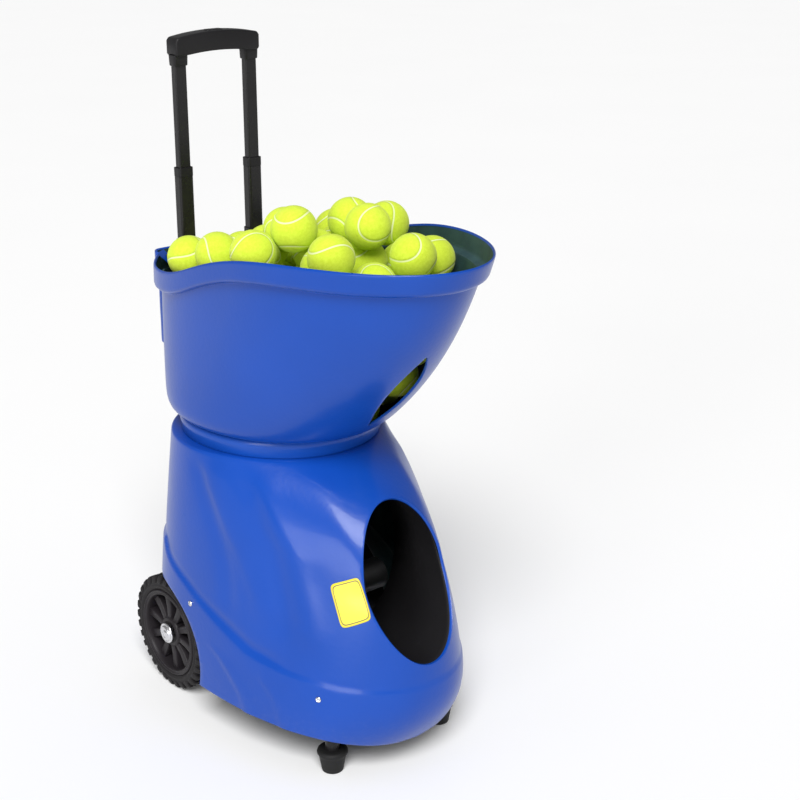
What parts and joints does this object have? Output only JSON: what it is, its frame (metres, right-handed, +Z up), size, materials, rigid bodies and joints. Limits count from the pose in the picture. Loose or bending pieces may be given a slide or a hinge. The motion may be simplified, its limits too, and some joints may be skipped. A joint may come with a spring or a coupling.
{
  "type": "tennis ball machine",
  "caption": "Wheeled tennis ball launcher: a moulded lower shell with an oval launch opening, a scoop-shaped ball hopper above it, and a telescopic pull handle behind.",
  "frame": {"origin": "middle of the footprint on the floor", "axes": "+Z up, -Y the front (the launch side), +Y the handle side, X along the axle"},
  "size_m": [0.3706, 0.6316, 1.046],
  "materials": {
    "shell_blue": "glossy moulded blue",
    "collar_blue": "glossy moulded blue",
    "sheet_steel": "dark grey powder coat",
    "bright_steel": "plated",
    "black_plastic": "fine texture",
    "black_metal": "satin black",
    "tyre_rubber": "moulded",
    "grey_rubber": "matt",
    "launch_rubber": "matt",
    "motor_can": "satin",
    "board_green": "solder mask",
    "rocker_red": "glossy",
    "ball_felt": "woven felt",
    "battery_grey": "moulded"
  },
  "bodies": {
    "machine": {"body_shell": "shell_blue", "hopper": "shell_blue", "neck_collar": "collar_blue", "base_plate": "sheet_steel", "side_plates": "sheet_steel", "wheel_guards": "black_plastic", "axle": "bright_steel", "foot_stems": "black_metal", "foot_rubbers": "grey_rubber", "feeder_deck": "sheet_steel", "feed_motor": "motor_can", "feed_skirt": "black_plastic", "drop_tube": "black_plastic", "yaw_motor": "motor_can", "yaw_ring": "bright_steel", "muzzle_liner": "black_plastic", "battery": "battery_grey", "control_board": "board_green", "control_panel": "black_plastic", "charge_socket": "black_plastic", "shell_screws": "bright_steel", "handle_bracket": "sheet_steel", "handle_sleeves": "black_metal"},
    "left_wheel": {"left_wheel_rim": "black_plastic", "left_tyre": "tyre_rubber", "left_hub_cap": "bright_steel"},
    "right_wheel": {"right_wheel_rim": "black_plastic", "right_tyre": "tyre_rubber", "right_hub_cap": "bright_steel"},
    "feeder": {"feed_disc": "black_plastic"},
    "turning_base": {"yaw_table": "sheet_steel", "tilt_motor": "motor_can"},
    "tilting_head": {"head_frame": "sheet_steel", "feed_rails": "bright_steel", "upper_motor": "motor_can", "lower_motor": "motor_can"},
    "upper_launch_wheel": {"upper_wheel_hub": "bright_steel", "upper_wheel_tyre": "launch_rubber"},
    "lower_launch_wheel": {"lower_wheel_hub": "bright_steel", "lower_wheel_tyre": "launch_rubber"},
    "handle_middle": {"mid_tubes": "black_metal", "mid_collars": "black_plastic"},
    "handle_top": {"upper_tubes": "black_metal", "handle_grip": "black_plastic"},
    "handle_button": {"release_button": "black_plastic"},
    "power_switch": {"power_rocker": "rocker_red"},
    "loose_balls": {"tennis_balls": "ball_felt"}
  },
  "joints": [
    {"name": "left_wheel_spin", "type": "hinge", "parent": "machine", "child": "left_wheel", "pos_m": [-0.14, 0.2198, 0.096], "axis": [1, 0, 0], "continuous": true},
    {"name": "right_wheel_spin", "type": "hinge", "parent": "machine", "child": "right_wheel", "pos_m": [0.14, 0.2198, 0.096], "axis": [1, 0, 0], "continuous": true},
    {"name": "feed_spin", "type": "hinge", "parent": "machine", "child": "feeder", "pos_m": [0, 0.0908, 0.47], "axis": [0, 0, 1], "continuous": true},
    {"name": "head_turn", "type": "hinge", "parent": "machine", "child": "turning_base", "pos_m": [0, 0.1008, 0.114], "axis": [0, 0, 1], "range_deg": [-8, 8]},
    {"name": "head_tilt", "type": "hinge", "parent": "turning_base", "child": "tilting_head", "pos_m": [0, 0.1008, 0.276], "axis": [-1, 0, 0], "range_deg": [-7, 12]},
    {"name": "upper_launch_spin", "type": "hinge", "parent": "tilting_head", "child": "upper_launch_wheel", "pos_m": [0, 0.0108, 0.354], "axis": [1, 0, 0], "continuous": true},
    {"name": "lower_launch_spin", "type": "hinge", "parent": "tilting_head", "child": "lower_launch_wheel", "pos_m": [0, 0.0108, 0.198], "axis": [1, 0, 0], "continuous": true},
    {"name": "handle_middle_slide", "type": "slide", "parent": "machine", "child": "handle_middle", "axis": [0, 0, 1], "range_m": [-0.097, 0]},
    {"name": "handle_top_slide", "type": "slide", "parent": "handle_middle", "child": "handle_top", "axis": [0, 0, 1], "range_m": [-0.15, 0]},
    {"name": "handle_button_press", "type": "slide", "parent": "handle_top", "child": "handle_button", "axis": [0, 0, 1], "range_m": [-0.003, 0], "stiffness_N_per_m": 700},
    {"name": "power_switch_rock", "type": "hinge", "parent": "machine", "child": "power_switch", "pos_m": [-0.035, 0.2988, 0.3493], "axis": [1, 0, 0], "range_deg": [-18, 0]},
    {"name": "balls_lift_out", "type": "slide", "parent": "machine", "child": "loose_balls", "axis": [0, 0, 1], "range_m": [0, 0.35]}
  ]
}
